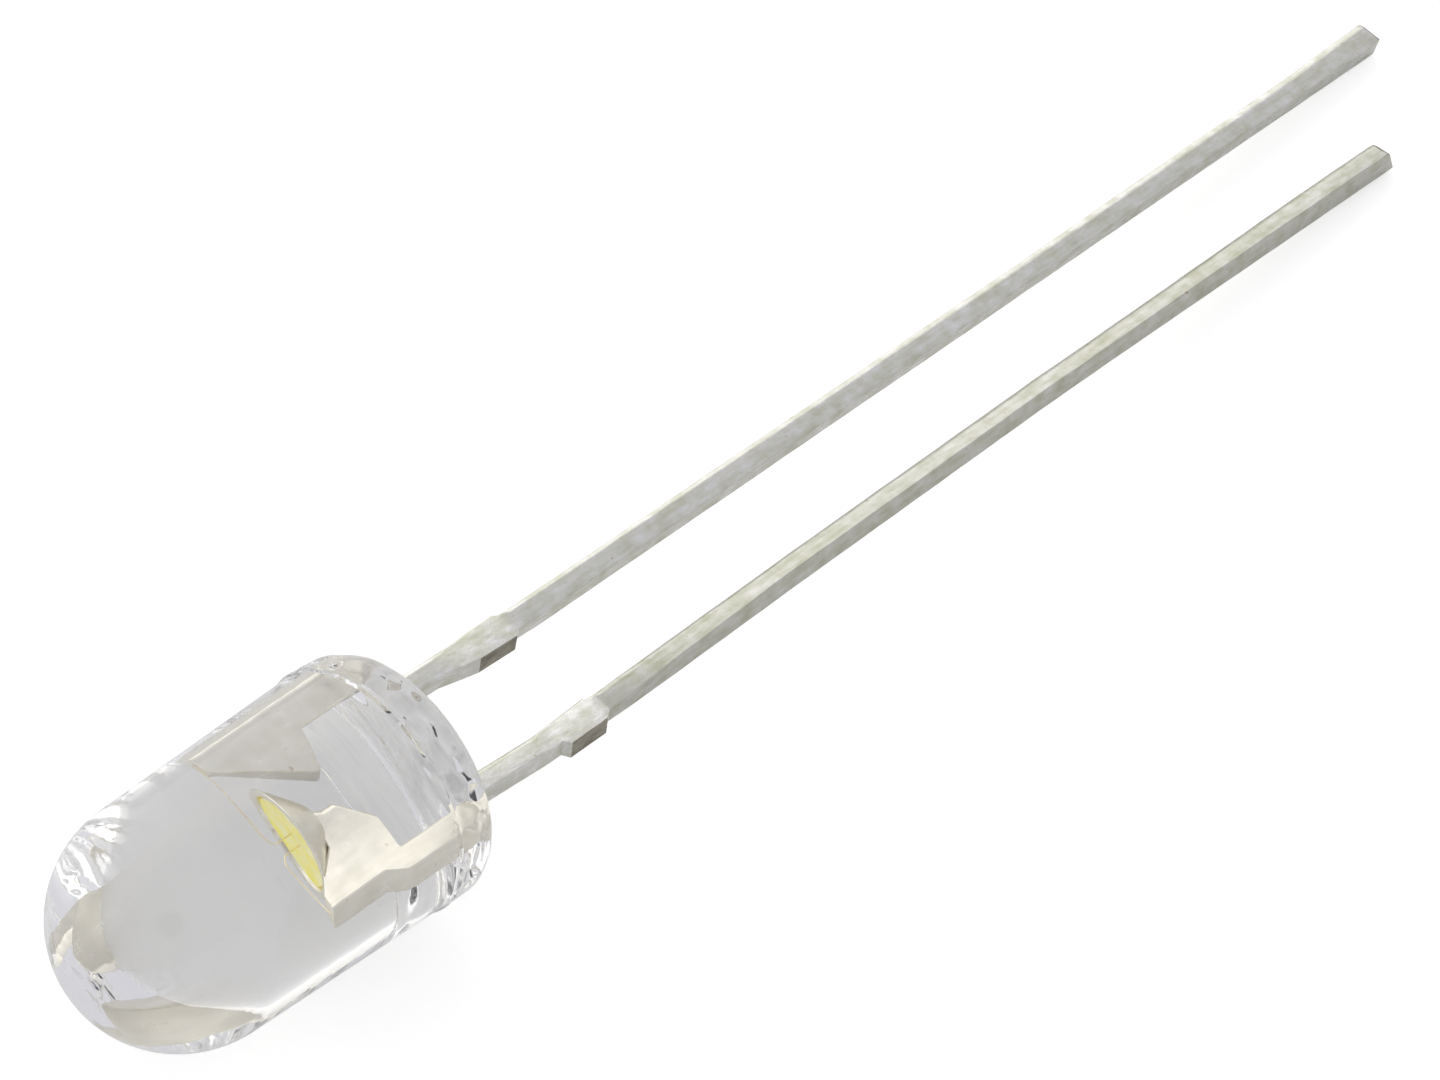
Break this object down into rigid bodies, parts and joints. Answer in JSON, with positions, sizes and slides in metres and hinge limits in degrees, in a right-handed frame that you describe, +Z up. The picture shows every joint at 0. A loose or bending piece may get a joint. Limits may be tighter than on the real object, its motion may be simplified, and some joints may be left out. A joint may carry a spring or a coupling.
{
  "type": "through hole led",
  "caption": "Round clear light emitting diode with square stamped leads, lying on its base rim and lead tips.",
  "frame": {"origin": "on the ground under the middle of the part's box as it lies at rest", "axes": "+X from the nose towards the lead tips, +Y towards the anode lead's side, +Z up"},
  "size_m": [0.0418, 0.0054, 0.0056],
  "materials": {
    "clear_epoxy": "water clear cast epoxy, glossy",
    "plated_lead": "tin plated steel, satin",
    "chip": "polished crystal",
    "chip_glue": "cured glue",
    "phosphor": "soft yellow silicone with phosphor powder",
    "gold_wire": "drawn gold, bright"
  },
  "bodies": {
    "root": {"epoxy_body": "clear_epoxy", "anode_lead": "plated_lead", "cathode_lead": "plated_lead", "led_die": "chip", "die_attach": "chip_glue", "phosphor_fill": "phosphor", "anode_bond_wire": "gold_wire", "cathode_bond_wire": "gold_wire"}
  },
  "joints": []
}
